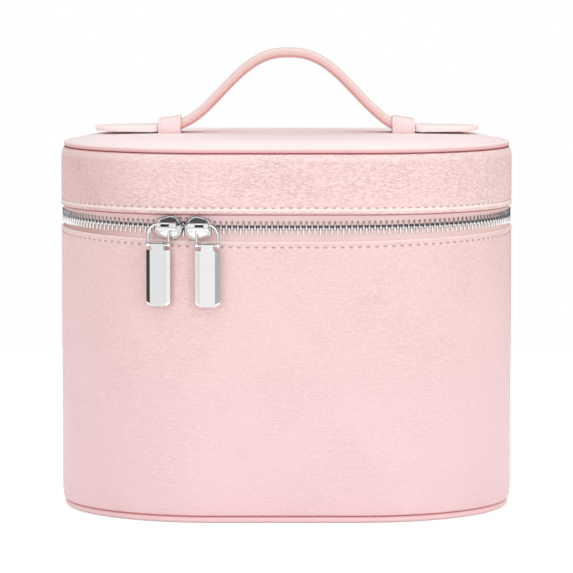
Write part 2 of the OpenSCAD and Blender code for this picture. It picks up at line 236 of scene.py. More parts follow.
def pebbled(name, colour, crease, lit, pebble, depth, contrast=0.5, painted_heights=(), sewn=None,
            shade=None, shine=0.42):
    """Leather with soft low ripples, wider than high. shade: a painted shade, the colour it turns
    at the far left. sewn: where its row of stitches runs up the piece's own map, the side of its
    rolled edge, that edge's painted highlight, start and end; the leather puckers between
    stitches and is painted paler there."""
    f = Finish(name)
    where = f.place()
    stretched = f.vector("MULTIPLY", where, (1.0, 1.0, 2.0))
    drift = f.noise(stretched, 0.55 / (pebble * MM), 2.0, 0.5, out="Color")
    bent = f.vector("ADD", stretched,
                    f.vector("MULTIPLY", f.vector("SUBTRACT", drift, (0.5, 0.5, 0.5)),
                             (pebble * MM * 0.9,) * 3))
    ripple = f.noise(bent, 1.05 / (pebble * MM), 1.5, 0.5)
    valley = 1 - f.cells(bent, 1 / (pebble * MM), "DISTANCE_TO_EDGE").step(0.0, 0.15)
    fine = f.noise(bent, 2.4 / (pebble * MM), 3.0, 0.55)
    pores = f.noise(where, 2400.0, 2.0, 0.6)
    swell = f.noise(where, 26.0, 2.0)
    strength = swell.step(0.3, 0.66) * 0.4 + 0.6
    height = (ripple * 1.3 - valley * 0.4 + fine * 0.45) * strength + pores * 0.06
    broad = f.noise(where, 60.0, 1.0)
    cloudy = f.noise(where, 17.0, 3.0, 0.6)
    # The grain's colour: darker in its valleys and paler on its ripple tops, partly the grain's
    # own tone, partly painted shade and painted highlight standing in for its relief.
    dark = ((1 - ripple.step(0.34, 0.53)) * 0.45 + valley * 0.6).at_most(1.0)
    base = f.mixed(dark * strength * contrast, colour, crease)
    base = f.mixed(ripple.step(0.5, 0.68) * strength * contrast * 0.6, base, lit)
    base = f.mixed(cloudy.step(0.45, 0.75) * 0.15, base, lit)
    # Painted shade: the leather turns darker towards the far left, where less light falls.
    if shade is not None:
        base = f.mixed(f.left_shade_share(where) * 0.45, base, shade)
    base = f.painted_at_heights(base, where, painted_heights)
    if sewn is not None:
        line, side, bead_highlight, start, end = sewn
        u, v = f.parts(f.place("UV"))[:2]
        turn = 2 * math.pi / (ROUND / STITCHES)
        gaps = ((u * 1000.0 + ROUND / 2) * turn + math.pi / 2).sine()
        off = v * 1000.0 - line
        close = 1 - off.size().step(0.2, 1.2)
        out = off * side
        edge = out.step(start, start + 0.6) * (1 - out.step(end - 0.6, end))
        # Painted highlight: the rolled edge and the puckers between stitches are painted paler
        # where light catches them.
        base = f.mixed(edge * 0.65, base, bead_highlight)
        base = f.mixed(close * gaps.step(-0.2, 0.7) * 0.35, base, bead_highlight)
        height = height * (1 - edge * 0.6) + close * gaps * (0.7 * 0.12 / depth)
    normal = f.bump(height, depth * MM, 1.0, f.bump(broad, 0.6 * MM, 0.3))
    return f.shade(Base_Color=base, Roughness=0.47 + dark * 0.12 - pores * 0.05,
                   Normal=normal, Specular_IOR_Level=shine, IOR=1.46)


def smooth_leather(name, colour, crease, grain=0.75, depth=0.045, rough=0.46, painted_heights=(),
                   side_shade=None):
    """Finer leather, for edges, piping and the strap. side_shade: painted shade down the strap's
    sides, partly their edge paint:
    the middle of the strap's top up the piece's own map, where its sides start and end, and their
    colour below."""
    f = Finish(name)
    where = f.place()
    edge = f.cells(where, 1 / (grain * MM), "DISTANCE_TO_EDGE")
    pore = edge.step(0.0, 0.3)
    fibres = f.noise(where, 900.0, 3.0, 0.6)
    cloudy = f.noise(where, 35.0, 3.0, 0.55)
    soft = f.noise(where, 110.0, 2.0)
    base = f.mixed((1 - pore) * 0.22 + cloudy.step(0.45, 0.8) * 0.18, colour, crease)
    base = f.painted_at_heights(base, where, painted_heights)
    # Painted shade down the strap's sides, partly their edge paint.
    if side_shade is not None:
        middle, start, end, deep = side_shade
        off = (f.parts(f.place("UV"))[1] * 1000.0 - middle).size()
        base = f.mixed(off.step(start, end), base, deep)
    normal = f.bump(pore * 0.7 + fibres * 0.4, depth * MM, 1.0, f.bump(soft, 0.4 * MM, 0.3))
    return f.shade(Base_Color=base, Roughness=rough + (1 - pore) * 0.1 + fibres * 0.05,
                   Normal=normal, Specular_IOR_Level=0.42)


def woven(name, colour, shadow, strand, depth, twill=True, painted_heights=(), shade=None):
    """Cloth whose threads follow the piece's own map: along it and up it. shade: a painted
    shade, the colour it turns at the far left."""
    f = Finish(name)
    u, v = f.parts(f.place("UV"))[:2]
    turn = 2 * math.pi / (strand * MM)
    warp = (u * turn).sine()
    weft = (v * turn).sine()
    if twill:
        ribs = ((u + v) * (turn * 0.5)).sine()
        cloth = ribs * 0.6 + warp.size() * 0.25 + weft.size() * 0.25
    else:
        cloth = (warp * weft) * 0.5 + warp.size() * 0.3 + weft.size() * 0.3
    fluff = f.noise(f.place(), 1500.0, 3.0, 0.6)
    cloudy = f.noise(f.place(), 40.0, 3.0)
    low = cloth.step(-0.6, 0.7)
    base = f.mixed((1 - low) * 0.5 + fluff * 0.12, colour, shadow)
    base = f.mixed(cloudy.step(0.4, 0.8) * 0.25, base, shadow)
    # Painted shade: the cloth turns darker towards the far left, where less light falls.
    if shade is not None:
        base = f.mixed(f.left_shade_share(f.place()) * 0.8, base, shade)
    base = f.painted_at_heights(base, f.place(), painted_heights)
    return f.shade(Base_Color=base, Roughness=0.82 + fluff * 0.1, Sheen_Weight=0.25,
                   Sheen_Roughness=0.4, Normal=f.bump(cloth + fluff * 0.5, depth * MM),
                   Specular_IOR_Level=0.25)


def polished(name, colour, rough, swirl, scratch):
    """Plated metal with faint rubbing marks and a soft unevenness in its shine."""
    f = Finish(name)
    where = f.place()
    stretched = f.vector("MULTIPLY", where, (9.0, 9.0, 1.0))
    brushed = f.noise(stretched, 500.0, 4.0, 0.7)
    smudge = f.noise(where, 160.0, 3.0, 0.6)
    waves = f.noise(where, 90.0, 1.0)
    dim = tuple(c * 0.86 for c in colour[:3]) + (1.0,)
    return f.shade(Base_Color=f.mixed(smudge.step(0.5, 0.9) * 0.5, colour, dim),
                   Metallic=1.0, Roughness=rough + smudge.step(0.45, 0.8) * 0.05
                   + brushed * 0.02,
                   Normal=f.bump(brushed, scratch * MM, 0.25, f.bump(waves, swirl * MM, 0.5)))


def thread(name, colour, shadow):
    """Sewing thread with its twist."""
    f = Finish(name)
    where = f.place()
    x, y, z = f.parts(where)
    twist = ((x + y + z * 1.7) * (2 * math.pi / (0.55 * MM))).sine()
    fluff = f.noise(where, 3000.0, 2.0)
    base = f.mixed((1 - twist.step(-0.7, 0.8)) * 0.45 + fluff * 0.1, colour, shadow)
    return f.shade(Base_Color=base, Roughness=0.55 + fluff * 0.15, Sheen_Weight=0.2,
                   Normal=f.bump(twist, 0.06 * MM))


def fibre_board(name, colour, dark):
    """Grey pressed board with fibres and flecks."""
    f = Finish(name)
    where = f.place()
    layered = f.vector("MULTIPLY", where, (1.0, 1.0, 7.0))
    fibres = f.noise(layered, 350.0, 5.0, 0.65)
    flecks = f.cells(where, 700.0).step(0.08, 0.2)
    base = f.mixed(fibres.step(0.35, 0.75) * 0.5 + (1 - flecks) * 0.35, colour, dark)
    return f.shade(Base_Color=base, Roughness=0.88 + fibres * 0.1,
                   Normal=f.bump(fibres, 0.1 * MM, 0.6), Specular_IOR_Level=0.2)


# Painted shade: the deep pink that darkens the grooves beside pipings and under edges.
GROOVE_SHADE = tone(206, 118, 122)
# Painted highlight for rolled edges and for the puckers between stitches.
BEAD_HIGHLIGHT = tone(255, 242, 236)
# Paler than the walls' leather: painted light, the bright grazing sheen of the lid's top painted
# into its colour.
LIT_TOP_LEATHER = pebbled("top_leather_finish", tone(248, 232, 232), tone(243, 223, 223),
                      tone(251, 237, 237), 2.1, 0.1, 0.4, shine=0.15)
# Two copies of the one piping leather, lit and shaded: the foot one paler with painted bounce
# light from the floor, the head one darker. Both take painted shade in the groove beside them,
# and the head one a painted highlight along its top.
FOOT_PIPING = smooth_leather("foot_piping_finish", tone(249, 212, 214), tone(240, 198, 199),
                             painted_heights=[(FLOOR_Z, 0.45, GROOVE_SHADE, 1.0)])
HEAD_PIPING = smooth_leather("head_piping_finish", tone(238, 188, 190), tone(228, 175, 177),
                             painted_heights=[(BAND_TOP + 0.1, 0.6, GROOVE_SHADE, 1.0),
                                    (BAND_TOP + 3.2, 1.9, tone(250, 231, 230), 1.0)])
BASE_LEATHER = smooth_leather("base_leather_finish", tone(240, 200, 199), tone(222, 174, 175),
                              0.9, 0.06, 0.55)
TAIL_LEATHER = smooth_leather("tail_finish", tone(254, 236, 233), tone(249, 220, 216),
                              0.6, 0.03, 0.42)
KEEPER_LEATHER = pebbled("keeper_finish", tone(246, 225, 224), tone(238, 209, 207),
                         tone(253, 233, 231), 1.3, 0.06)
HINGE_LEATHER = smooth_leather("hinge_finish", tone(238, 198, 197), tone(222, 174, 174),
                               0.8, 0.05, 0.52)
LINING = woven("lining_finish", tone(233, 196, 190), tone(206, 160, 155), 0.5, 0.08, False)
# Painted shadow darkens the upper tape just under the lid's edge; painted shade darkens the lower
# tape towards the far left.
UPPER_TAPE = woven("upper_tape_finish", tone(245, 214, 213), tone(226, 188, 186), 0.6, 0.10,
                   painted_heights=[(LID_Z - 0.1, 0.75, tone(184, 114, 118), 1.0)])
LOWER_TAPE = woven("lower_tape_finish", tone(246, 217, 213), tone(226, 188, 184), 0.6, 0.10,
                   shade=tone(208, 164, 161))
NICKEL = polished("nickel_finish", (0.7, 0.68, 0.68, 1.0), 0.16, 0.02, 0.03)
CHROME = polished("chrome_finish", (0.86, 0.85, 0.86, 1.0), 0.035, 0.004, 0.004)
# A near-black finish for the slider's slot: painted shade standing for the dark hollow there.
SLOT_SHADOW = polished("slot_shadow_finish", (0.035, 0.033, 0.033, 1.0), 0.3, 0.01, 0.01)
THREAD = thread("thread_finish", tone(212, 176, 173), tone(184, 144, 142))
PALE_THREAD = thread("pale_thread_finish", tone(226, 190, 188), tone(206, 166, 165))
BOARD = fibre_board("board_finish", (0.36, 0.34, 0.30, 1.0), (0.22, 0.20, 0.17, 1.0))


# ---- making pieces

def weld(mesh):
    """Merges points that lie together and turns all faces outwards."""
    work = bmesh.new()
    work.from_mesh(mesh)
    bmesh.ops.remove_doubles(work, verts=work.verts, dist=0.002 * MM)
    bmesh.ops.dissolve_degenerate(work, edges=work.edges, dist=0.001 * MM)
    bmesh.ops.recalc_face_normals(work, faces=work.faces)
    work.to_mesh(mesh)
    work.free()


def smooth(mesh, sharp):
    """Smooth shading but for edges sharper than an angle in degrees."""
    mesh.shade_smooth()
    mesh.set_sharp_from_angle(angle=math.radians(sharp))


def in_scene(name, data):
    """A new object for a mesh, lamp or camera."""
    made = bpy.data.objects.new(name, data)
    bpy.context.scene.collection.objects.link(made)
    return made


def lifted(obj, rise):
    """Lifts each point by what rise says of its x, y and z, all in millimetres."""
    for v in obj.data.vertices:
        v.co.z += rise(*(c / MM for c in v.co)) * MM
    return obj


def coords(mesh):
    """The points of a mesh, a row each, in metres."""
    found = np.empty(len(mesh.vertices) * 3)
    mesh.vertices.foreach_get("co", found)
    return found.reshape(-1, 3)


def raw_mesh(name, points, edges=(), faces=()):
    """A mesh from points in millimetres."""
    mesh = bpy.data.meshes.new(name)
    mesh.from_pydata([(x * MM, y * MM, z * MM) for x, y, z in points], edges, faces)
    return mesh


def dress(made, body, slot, *nodes):
    """Puts a piece on its body, in the place of the solids that it shows."""
    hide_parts(*nodes)
    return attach(made, body)


def piece(name, points, faces, finish, corners=None, sharp=40.0):
    """A piece from points in millimetres, smooth but for its sharp edges. corners: its map."""
    mesh = raw_mesh(name, points, (), faces)
    if corners is not None:
        layer = mesh.uv_layers.new(name="weave")
        layer.uv.foreach_set("vector", (np.array(corners, np.float32) * MM).ravel())
    weld(mesh)
    smooth(mesh, sharp)
    mesh.materials.append(finish)
    return in_scene(name, mesh)


def lengths(points):
    """The length along a line of points, from its first point to each of them."""
    total, found = 0.0, [0.0]
    for a, b in zip(points, points[1:]):
        total += math.dist(a, b)
        found.append(total)
    return found


def loft(name, rows, finish, ring=True, around=True, caps=False, marks=None, sharp=40.0):
    """Skins sections laid out one after another. ring: each section is closed.
    around: the last section meets the first. caps: both end sections are filled."""
    count, size = len(rows), len(rows[0])
    middle = rows[count // 2]
    up = lengths(list(middle) + [middle[0]])
    if marks is None:
        marks = lengths([row[0] for row in rows] + [rows[0][0]])
    faces, corners = [], []
    for i in range(count if around else count - 1):
        for j in range(size if ring else size - 1):
            i2, j2 = (i + 1) % count, (j + 1) % size
            faces.append((i * size + j, i2 * size + j, i2 * size + j2, i * size + j2))
            corners += [(marks[i], up[j]), (marks[i + 1], up[j]),
                        (marks[i + 1], up[j + 1]), (marks[i], up[j + 1])]
    if caps:
        for start in (0, (count - 1) * size):
            faces.append(tuple(range(start, start + size)))
            corners += [(p[0], p[2]) for p in rows[start // size]]
    return piece(name, [p for row in rows for p in row], faces, finish, corners, sharp)


def eased(corners, steps=4):
    """A closed outline whose corners (x, y, radius) become small curves."""
    outline = []
    for k, (x, y, radius) in enumerate(corners):
        if radius <= 0:
            outline.append((x, y))
            continue
        here = Vector((x, y))
        back = Vector(corners[k - 1][:2]) - here
        on = Vector(corners[(k + 1) % len(corners)][:2]) - here
        start = here + back.normalized() * min(radius, back.length * 0.499)
        end = here + on.normalized() * min(radius, on.length * 0.499)
        for i in range(steps + 1):
            t = i / steps
            p = start * (1 - t) ** 2 + here * (2 * t * (1 - t)) + end * t ** 2
            outline.append((p.x, p.y))
    return outline


def around(s, reach=END_R):
    """A place round the case, a length s from the middle of the front: a point on the line
    between the ends' centres, and the way out from it."""
    a, side = abs(s), 1 if s >= 0 else -1
    bend = math.pi * reach
    if a <= RUN:
        return (s, 0.0), (0.0, -1.0)
    if a <= RUN + bend:
        turn = (a - RUN) / reach
        return (side * RUN, 0.0), (side * math.sin(turn), -math.cos(turn))
    return (side * (2 * RUN + bend - a), 0.0), (0.0, 1.0)


def round_marks(bends=76, runs=14):
    """Lengths all the way round, from the middle of the back to the middle of the back."""
    bend = math.pi * END_R
    half = np.concatenate([np.linspace(0, RUN, runs, endpoint=False),
                           np.linspace(RUN, RUN + bend, bends, endpoint=False),
                           np.linspace(RUN + bend, 2 * RUN + bend, runs + 1)])
    return list(-half[::-1]) + list(half[1:])


def section_row(s, section, reach=END_R):
    """A section of (depth inwards, height) set up at a place round the case."""
    (bx, by), (ox, oy) = around(s, reach)
    return [(bx + ox * (END_R - d), by + oy * (END_R - d), z) for d, z in section]


def wall(name, section, finish, bends=76, runs=14, sharp=40.0):
    """A wall or slab round the footprint. A section that starts and ends at depth END_R
    closes over the middle as a slab."""
    marks = round_marks(bends, runs)
    slab = section[0][0] >= END_R - 0.01
    rows = [section_row(s, section) for s in marks[:-1]]
    return loft(name, rows, finish, ring=not slab, marks=marks, sharp=sharp)


def open_wall(name, section_at, finish, half, reach, count):
    """A wall from the hinge round the front to the hinge; its section may change on the way."""
    marks = list(np.linspace(-half, half, count))
    rows = [section_row(s, section_at(s), reach) for s in marks]
    return loft(name, rows, finish, around=False, caps=True, marks=marks + [marks[-1]])


def swept(name, path, section, finish, closed=False, sharp=40.0):
    """Carries a closed section along a path of (point, side way, up way)."""
    rows = []
    for point, side, up in path:
        rows.append([tuple(Vector(point) + Vector(side) * a + Vector(up) * b)
                     for a, b in section])
    return loft(name, rows, finish, around=closed, caps=not closed, sharp=sharp)


def plain(obj):
    """Applies what its modifiers make, as one plain mesh."""
    shown = bpy.context.evaluated_depsgraph_get()
    mesh = bpy.data.meshes.new_from_object(obj.evaluated_get(shown), depsgraph=shown)
    obj.modifiers.clear()
    obj.data = mesh
    return obj


def joined(name, pieces):
    """Several shells as one piece, with the first one's finish slots kept in order."""
    work = bmesh.new()
    finishes = []
    for part in pieces:
        start = len(work.faces)
        work.from_mesh(part.data)
        work.faces.ensure_lookup_table()
        finish = part.data.materials[0]
        if finish not in finishes:
            finishes.append(finish)
        for face in work.faces[start:]:
            face.material_index = finishes.index(finish)
    mesh = bpy.data.meshes.new(name)
    work.to_mesh(mesh)
    work.free()
    for finish in finishes:
        mesh.materials.append(finish)
    for part in pieces:
        bpy.data.objects.remove(part)
    return in_scene(name, mesh)


def block(name, low, high, edge, finish):
    """A small rounded block between two corners, in millimetres."""
    work = bmesh.new()
    bmesh.ops.create_cube(work, size=1.0)
    size = [b - a for a, b in zip(low, high)]
    middle = [(a + b) / 2 for a, b in zip(low, high)]
    for v in work.verts:
        v.co = Vector([m + c * s for m, c, s in zip(middle, v.co, size)])
    bmesh.ops.bevel(work, geom=work.edges[:] + work.verts[:], offset=edge, segments=3,
                    profile=0.6, affect="EDGES")
    points = [tuple(v.co) for v in work.verts]
    work.verts.index_update()
    faces = [tuple(v.index for v in face.verts) for face in work.faces]
    work.free()
    return piece(name, points, faces, finish, sharp=50)


# ---- rows that repeat

def tree_with(name, sockets):
    """A Geometry Nodes tree with named inputs, the outputs of its start, and what closes it:
    links, and instances made real with the finish on them."""
    tree = bpy.data.node_groups.new(name, "GeometryNodeTree")
    tree.interface.new_socket("Geometry", in_out="OUTPUT", socket_type="NodeSocketGeometry")
    for label, kind in [("Geometry", "Geometry"), *sockets, ("Finish", "Material")]:
        tree.interface.new_socket(label, in_out="INPUT", socket_type="NodeSocket" + kind)
    start, real, coat, end = map(tree.nodes.new, [
        "NodeGroupInput", "GeometryNodeRealizeInstances", "GeometryNodeSetMaterial",
        "NodeGroupOutput"])

    def close(made, links):
        for a, b in [*links, (made, real.inputs[0]),
                     (real.outputs[0], coat.inputs["Geometry"]),
                     (start.outputs["Finish"], coat.inputs["Material"]),
                     (coat.outputs["Geometry"], end.inputs[0])]:
            tree.links.new(a, b)
        return tree
    return tree, start.outputs, close


def row_tree():
    """Sets one small unit on every point of a row, turned as the point says."""
    tree, start, close = tree_with("units_in_a_row", [
        ("Unit", "Object"), ("Size", "Float"), ("Sway", "Float"), ("Seed", "Int")])

    def add(kind, **values):
        node = tree.nodes.new(kind)
        for key, value in values.items():
            setattr(node, key, value)
        return node

    unit = add("GeometryNodeObjectInfo")
    turn = add("GeometryNodeInputNamedAttribute", data_type="FLOAT_VECTOR")
    turn.inputs["Name"].default_value = "turn"
    sway = add("FunctionNodeRandomValue", data_type="FLOAT_VECTOR")
    whole = add("ShaderNodeVectorMath", operation="ADD")
    spin = add("FunctionNodeEulerToRotation")
    put = add("GeometryNodeInstanceOnPoints")
    links = []
    for limit, way in (("Min", -1.0), ("Max", 1.0)):
        reach = add("ShaderNodeVectorMath", operation="SCALE")
        reach.inputs[0].default_value = (way, way, way)
        links += [(start["Sway"], reach.inputs["Scale"]), (reach.outputs[0], sway.inputs[limit])]
    return close(put.outputs["Instances"], links + [
        (start["Unit"], unit.inputs["Object"]),
        (start["Seed"], sway.inputs["Seed"]),
        (turn.outputs["Attribute"], whole.inputs[0]),
        (sway.outputs["Value"], whole.inputs[1]),
        (whole.outputs[0], spin.inputs[0]),
        (start["Geometry"], put.inputs["Points"]),
        (unit.outputs["Geometry"], put.inputs["Instance"]),
        (spin.outputs[0], put.inputs["Rotation"]),
        (start["Size"], put.inputs["Scale"])])


def cord_tree():
    """Turns a line of points into a round cord."""
    tree, start, close = tree_with("cord_on_a_line", [("Radius", "Float"), ("Sides", "Int")])
    line = tree.nodes.new("GeometryNodeMeshToCurve")
    ring = tree.nodes.new("GeometryNodeCurvePrimitiveCircle")
    tube = tree.nodes.new("GeometryNodeCurveToMesh")
    tube.inputs["Fill Caps"].default_value = True
    return close(tube.outputs["Mesh"], [
        (start["Geometry"], line.inputs["Mesh"]),
        (start["Radius"], ring.inputs["Radius"]),
        (start["Sides"], ring.inputs["Resolution"]),
        (line.outputs["Curve"], tube.inputs["Curve"]),
        (ring.outputs["Curve"], tube.inputs["Profile Curve"])])


ROW_TREE = row_tree()
CORD_TREE = cord_tree()


def run_tree(obj, tree, values):
    """Runs a tree on an object with its named inputs, and keeps the plain result."""
    modifier = obj.modifiers.new("nodes", "NODES")
    modifier.node_group = tree
    for item in tree.interface.items_tree:
        if item.item_type == "SOCKET" and item.in_out == "INPUT" and item.name in values:
            modifier[item.identifier] = values[item.name]
    plain(obj)
    smooth(obj.data, 55)
    return obj


def unit_row(name, places, unit, finish, sway, seed, size=1.0):
    """Repeats a unit at places of (point in millimetres, turn as Euler angles)."""
    mesh = raw_mesh(name, [point for point, turn in places])
    layer = mesh.attributes.new("turn", "FLOAT_VECTOR", "POINT")
    layer.data.foreach_set("vector", np.array([t for p, t in places], np.float32).ravel())
    return run_tree(in_scene(name, mesh), ROW_TREE, {
        "Unit": unit, "Size": size, "Sway": sway, "Seed": seed, "Finish": finish})


def cord_round(name, reach, z, radius, finish):
    """A piping round the footprint, its middle at a distance reach from the ends' centres."""
    points = [section_row(s, [(END_R - reach, z)])[0] for s in round_marks(96, 20)[:-1]]
    count = len(points)
    mesh = raw_mesh(name, points, [(k, (k + 1) % count) for k in range(count)])
    line = run_tree(in_scene(name, mesh), CORD_TREE,
                    {"Radius": radius * MM, "Sides": 16, "Finish": finish})
    weld(line.data)
    return line


# ---- the padded pieces

def crown_z(reach):
    """Height of the padded top at a distance from an end's centre."""
    rise = math.sin(math.pi / 2 * clamp((TOP_R - reach) / CROWN_REACH))
    return CROWN_BASE + (LID_TOP - CROWN_BASE) * rise


def puffed(obj, held_below, cap, pressure, highest):
    """Lets a stuffed piece swell in a short cloth simulation. What lies below a height
    stays where it is, and no point moves further than cap or rises above highest."""
    rest = coords(obj.data)
    held = obj.vertex_groups.new(name="held")
    held.add([int(k) for k in np.nonzero(rest[:, 2] < held_below * MM)[0]], 1.0, "REPLACE")
    cloth = obj.modifiers.new("swell", "CLOTH")
    for key, value in {"quality": 6, "mass": 0.25, "tension_stiffness": 25,
                       "compression_stiffness": 25, "bending_stiffness": 0.6,
                       "vertex_group_mass": "held", "use_pressure": True,
                       "uniform_pressure_force": pressure}.items():
        setattr(cloth.settings, key, value)
    cloth.settings.effector_weights.gravity = 0.0
    cloth.collision_settings.use_collision = False
    cloth.point_cache.frame_start = 1
    cloth.point_cache.frame_end = SWELL_FRAMES
    for step in range(1, SWELL_FRAMES + 1):
        bpy.context.scene.frame_set(step)
    shown = obj.evaluated_get(bpy.context.evaluated_depsgraph_get())
    moved = coords(shown.to_mesh()) - rest
    shown.to_mesh_clear()
    moved *= min(1.0, cap * MM / max(np.linalg.norm(moved, axis=1).max(), 1e-9))
    bpy.context.scene.frame_set(1)
    obj.modifiers.clear()
    obj.vertex_groups.clear()
    after = rest + moved
    after[:, 2] = np.minimum(after[:, 2], highest * MM)
    obj.data.vertices.foreach_set("co", after.ravel())
    obj.data.update()
    return obj


def lid_pad():
    """The padded top: pebbled leather over foam, lower than its full height until it swells."""
    depths = [END_R, 68, 61, 54, 47, 41, 36, 32, 28, 24.5, 21, 18, 15.5, 13, 11, 9.2, 7.7,
              6.6, 5.6, 4.9, 4.4, 4.08]
    lower = 0.8
    top = []
    for d in depths:
        z = crown_z(END_R - d)
        top.append((d, z - lower * (z - CROWN_BASE) / (LID_TOP - CROWN_BASE) - 0.02))
    side = [(3.95, 177.5), (4.0, 176.6), (4.3, 175.8), (5.0, 175.52)]
    bottom = [(d, 175.52) for d in (14, 30, 50, END_R)]
    pad = wall("lid_padded_top", top + side + bottom, LIT_TOP_LEATHER, 64, 16, 60)
    return puffed(pad, 177.85, 0.8, 4.0, LID_TOP - 0.02)


def floor_pad():
    """The padded floor inside the case."""
    low, high = sizes("base_lining")
    edge = END_R - high[1]
    depths = [END_R, 66, 56, 46, 36, 28, 22, 17, 13, 10, 8, 6.4, 5.4, edge + 0.5]
    top = []
    for d in depths:
        rise = min(1.0, (d - edge) / 9.0)
        top.append((d, high[2] - 0.5 + 0.45 * math.sin(math.pi / 2 * rise)))
    side = [(edge + 0.1, high[2] - 0.8), (edge, (low[2] + high[2]) / 2), (edge + 0.2, low[2])]
    pad = wall("padded_floor", top + side + [(20, low[2]), (END_R, low[2])], LINING, 56, 14, 60)
    return puffed(pad, high[2] - 0.45, 0.35, 2.0, high[2] + 0.3)


# ---- walls and pipings

def edge_rise(x, y):
    """How far the zipper's lower edge climbs towards the rounded ends, at a place round
    the case. It is level in front and at the hinge."""
    side = abs(x) - RUN
    if side <= -RUN + 0.01:
        return 0.0
    turn = math.atan2(max(side, 0.0), -y)
    s = min(abs(x), RUN) + turn * CHAIN_R
    climb = clamp((s - 22) / 128) ** 1.05
    return EDGE_RISE * climb * (1 - soft_step(clamp((s - 152) / 80)))


def level(low, high, steps):
    return [low + (high - low) * k / steps for k in range(1, steps)]


def build_walls():
    """The leather, its lining, the bottom panel and both pipings."""
    t = WALL_TOP
    outer = [(3.8, 3.22), (1.0, 3.26), (0.72, 3.7), (0.42, 4.8), (0.2, 6.6), (0.07, 9.0),
             (0.0, 12.5)]
    outer += [(0.0, z) for z in level(12.5, t - 12, 11)]
    outer += [(0.0, t - 12), (0.0, t - 8), (0.0, t - 5.5), (0.03, t - 4.4), (0.14, t - 3.6),
              (0.34, t - 2.95), (0.42, LOW_SEAM), (0.32, t - 2.45), (0.0, t - 2.0),
              (-0.2, t - 1.5), (-0.22, t - 1.0), (-0.05, t - 0.5), (0.35, t - 0.12),
              (0.8, t + 0.04), (1.15, t - 0.1)]
    inner = [(1.2, t - 0.6), (1.2, t - 30), (1.2, 60), (1.2, 3.6), (3.8, 3.28)]
    sewn = lengths(outer)[outer.index((0.42, LOW_SEAM))]
    # The wall's leather: painted bounce light from the floor tints it towards the bottom, painted
    # shade fills the groove at its foot, and its rolled top edge takes a painted highlight.
    leather = pebbled("body_leather_finish", tone(242, 209, 207), tone(230, 194, 193),
                      tone(250, 218, 216), 2.2, 0.22, 0.72,
                      [(5.0, 115.0, tone(243, 209, 213), 0.7), (FLOOR_Z, 0.5, GROOVE_SHADE, 1.0)],
                      (sewn, 1, BEAD_HIGHLIGHT, 2.0, 4.6))
    body = lifted(wall("outer_wall", outer + inner, leather), lambda x, y, z: (
        edge_rise(x, y) * soft_step(clamp((z - (t - 14)) / 9))))
    dress(body, "case", "pebbled_leather", "body_leather")

    b, c = LID_Z, BAND_TOP
    outer = [(1.15, b + 0.1), (0.8, b - 0.04), (0.35, b + 0.12), (-0.05, b + 0.5),
             (-0.22, b + 1.0), (-0.2, b + 1.6), (0.0, b + 2.2), (0.32, b + 2.75),
             (0.42, HIGH_SEAM), (0.34, b + 3.25), (0.14, b + 3.9), (0.03, b + 4.7),
             (0.0, b + 5.8)]
    outer += [(0.0, z) for z in level(b + 5.8, c - 5.0, 5)]
    outer += [(0.0, c - 5.0), (0.08, c - 3.6), (0.28, c - 2.4), (0.6, c - 1.4),
              (1.0, c - 0.65), (1.45, c - 0.15), (2.0, c + 0.05), (3.3, c + 0.07)]
    inner = [(3.3, c + 0.01), (1.25, c - 0.06), (1.2, c - 1.0), (1.2, c - 10), (1.2, b + 8),
             (1.2, b + 0.6)]
    sewn = lengths(outer)[outer.index((0.42, HIGH_SEAM))]
    # The band's leather: a painted highlight below its top edge, painted shade in the groove
    # under the piping, a painted highlight on the rolled edge by its stitches, and painted shade
    # towards its far left.
    leather = pebbled("band_leather_finish", tone(249, 216, 214), tone(224, 185, 183),
                      tone(255, 233, 230), 2.6, 0.38, 0.85,
                      [(BAND_TOP - 1.6, 2.8, tone(255, 239, 234), 0.35),
                       (BAND_TOP + 0.1, 0.6, GROOVE_SHADE, 1.0)],
                      (sewn, -1, BEAD_HIGHLIGHT, -0.2, 2.0), tone(222, 172, 176))
    band = wall("lid_band", outer + inner, leather)
    dress(band, "lid", "pebbled_leather", "lid_band_leather")

    hem = t - 6
    inside = [(2.1, t - 0.35), (2.35, t - 0.05), (2.9, t + 0.02), (3.5, t - 0.1),
              (3.86, t - 0.5), (3.98, t - 1.2), (3.93, t - 2.0), (3.78, t - 2.7),
              (3.93, t - 3.4), (4.0, t - 4.4), (4.0, hem)]
    inside += [(4.0, z) for z in level(hem, 5.6, 8)] + [(4.0, 5.6), (3.4, 5.5)]
    behind = [(3.4, 40), (3.4, 90), (3.4, hem), (2.1, hem + 0.05)]
    lining = wall("wall_lining", inside + behind, LINING)
    dress(lining, "case", "lining_fabric", "body_lining")

    hem = b + 6
    inside = [(2.1, b + 0.35), (2.35, b + 0.05), (2.9, b - 0.02), (3.5, b + 0.1),
              (3.86, b + 0.5), (3.98, b + 1.2), (3.93, b + 2.2), (3.78, b + 3.0),
              (3.93, b + 3.8), (4.0, b + 4.6), (4.0, hem), (4.0, 160), (4.0, 166),
              (4.0, 172.4), (3.4, 172.5), (3.4, 165), (3.4, hem), (2.1, hem - 0.05)]
    dress(wall("band_lining", inside, LINING), "lid", "lining_fabric", "lid_band_lining")

    ceiling = [(END_R, 172.72), (50, 172.72), (20, 172.74), (8, 172.78), (4.3, 172.85),
               (3.6, 172.95), (3.45, 173.1), (3.6, 173.28), (20, 173.28), (END_R, 173.28)]
    dress(wall("ceiling_lining", ceiling, LINING), "lid", "lining_fabric", "lid_top_lining")

